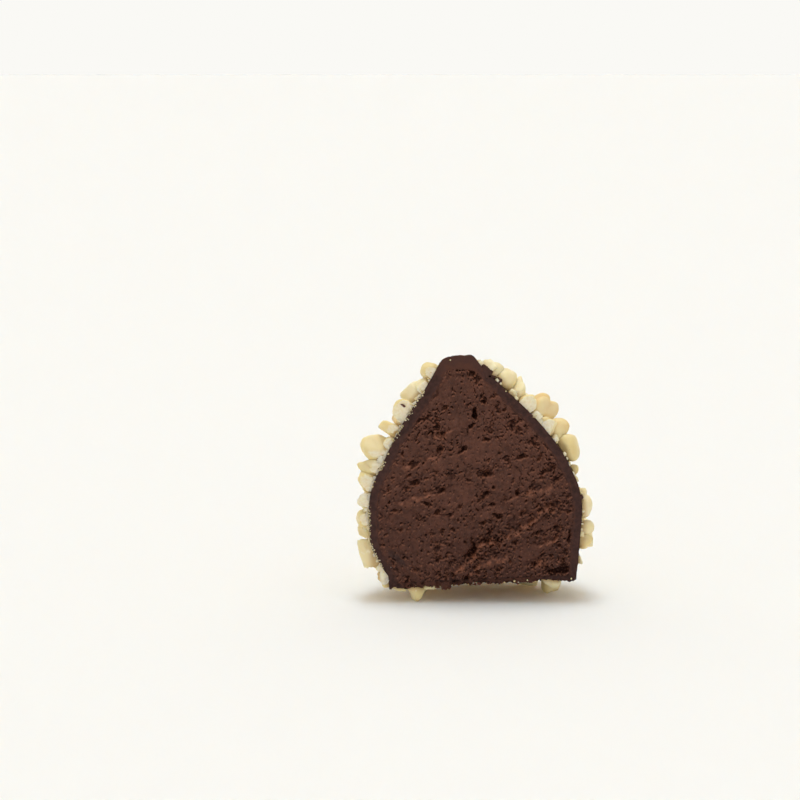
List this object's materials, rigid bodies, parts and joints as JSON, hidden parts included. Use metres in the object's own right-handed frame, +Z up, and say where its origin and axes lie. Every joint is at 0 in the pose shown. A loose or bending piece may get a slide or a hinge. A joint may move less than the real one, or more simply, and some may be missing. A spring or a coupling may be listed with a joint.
{
  "type": "halved chocolate truffle",
  "caption": "Half of a drop-shaped chocolate truffle coated in chopped nuts, its flat cut face showing soft ganache inside a dark chocolate shell.",
  "frame": {"origin": "middle of the underside of the part's box, on the surface it stands on", "axes": "+Z up to the peak, -Y out of the cut face, +X to the right when facing the cut face"},
  "size_m": [0.0322, 0.0172, 0.0338],
  "materials": {
    "ganache": "moist matt brown with fine pits",
    "dark_chocolate": "dark satin chocolate",
    "chopped_nuts": "satin cream to toasted nut"
  },
  "bodies": {
    "root": {"ganache": "ganache", "chocolate_shell": "dark_chocolate", "nut_coat": "chopped_nuts"}
  },
  "joints": []
}
